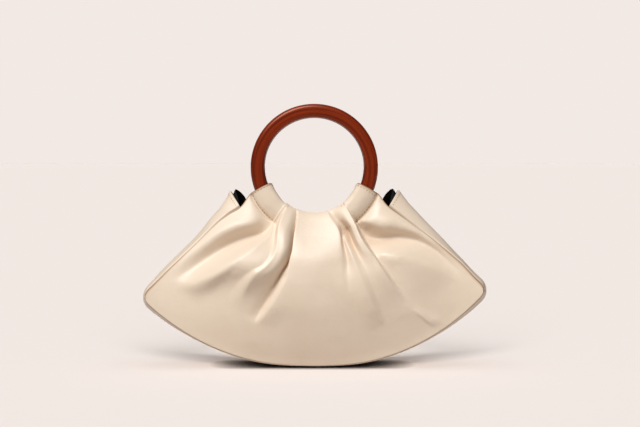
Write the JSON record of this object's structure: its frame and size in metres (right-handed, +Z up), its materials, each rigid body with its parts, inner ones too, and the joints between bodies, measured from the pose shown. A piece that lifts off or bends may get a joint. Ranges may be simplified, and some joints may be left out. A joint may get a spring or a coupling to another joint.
{
  "type": "pleated handbag",
  "caption": "Fan-shaped soft leather handbag, its pleated panels gathered on wooden ring handles and joined by a long gusset, open along the top and lined in black.",
  "frame": {"origin": "on the floor under the middle of the bag, at the bottom centre of its box", "axes": "+Z up, the front faces -Y, and +X is to the right seen from the front"},
  "size_m": [0.33, 0.1164, 0.2514],
  "materials": {
    "cream_leather": "smooth satin cream leather",
    "lacquered_wood": "red-brown wood under clear lacquer",
    "black_lining": "plain woven black lining"
  },
  "bodies": {
    "root": {"front_panel": "cream_leather", "back_panel": "cream_leather", "gusset": "cream_leather", "front_ring": "lacquered_wood", "back_ring": "lacquered_wood", "left_lining": "black_lining", "right_lining": "black_lining"}
  },
  "joints": []
}
